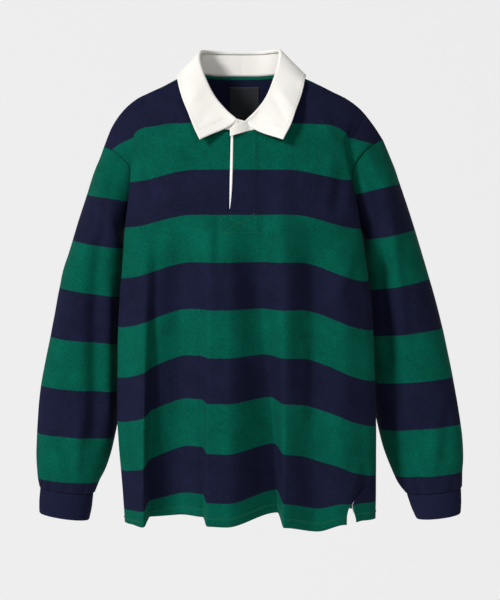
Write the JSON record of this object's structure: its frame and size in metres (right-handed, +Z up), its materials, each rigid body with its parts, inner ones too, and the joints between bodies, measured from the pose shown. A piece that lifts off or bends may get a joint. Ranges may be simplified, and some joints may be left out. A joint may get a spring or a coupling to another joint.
{
  "type": "rugby shirt",
  "caption": "Long-sleeved rugby shirt in broad green and navy hoops, white twill collar, lapped neck slit, rib cuffs and side vents; hollow, hanging as if filled out.",
  "frame": {"origin": "midway between the two high shoulder points at the foot of the collar, where the shirt is held up", "axes": "+Z up through the neck, -Y out of the front, +X to the right of the picture, which is the wearer's left"},
  "size_m": [0.703, 0.2032, 0.7682],
  "materials": {
    "jersey_hooped": "brushed cotton jersey in green and navy hoops",
    "rib_navy": "cotton rib",
    "twill_white": "brushed cotton twill",
    "label_charcoal": "woven satin label",
    "tape_white": "cotton tape"
  },
  "bodies": {
    "root": {"front_body": "jersey_hooped", "back_body": "jersey_hooped", "sleeve_left": "jersey_hooped", "sleeve_right": "jersey_hooped", "cuff_left": "rib_navy", "cuff_right": "rib_navy", "collar_stand": "twill_white", "collar_leaf": "twill_white", "placket_underlap": "twill_white", "neck_label": "label_charcoal", "vent_tape_left": "tape_white", "vent_tape_right": "tape_white"}
  },
  "joints": []
}
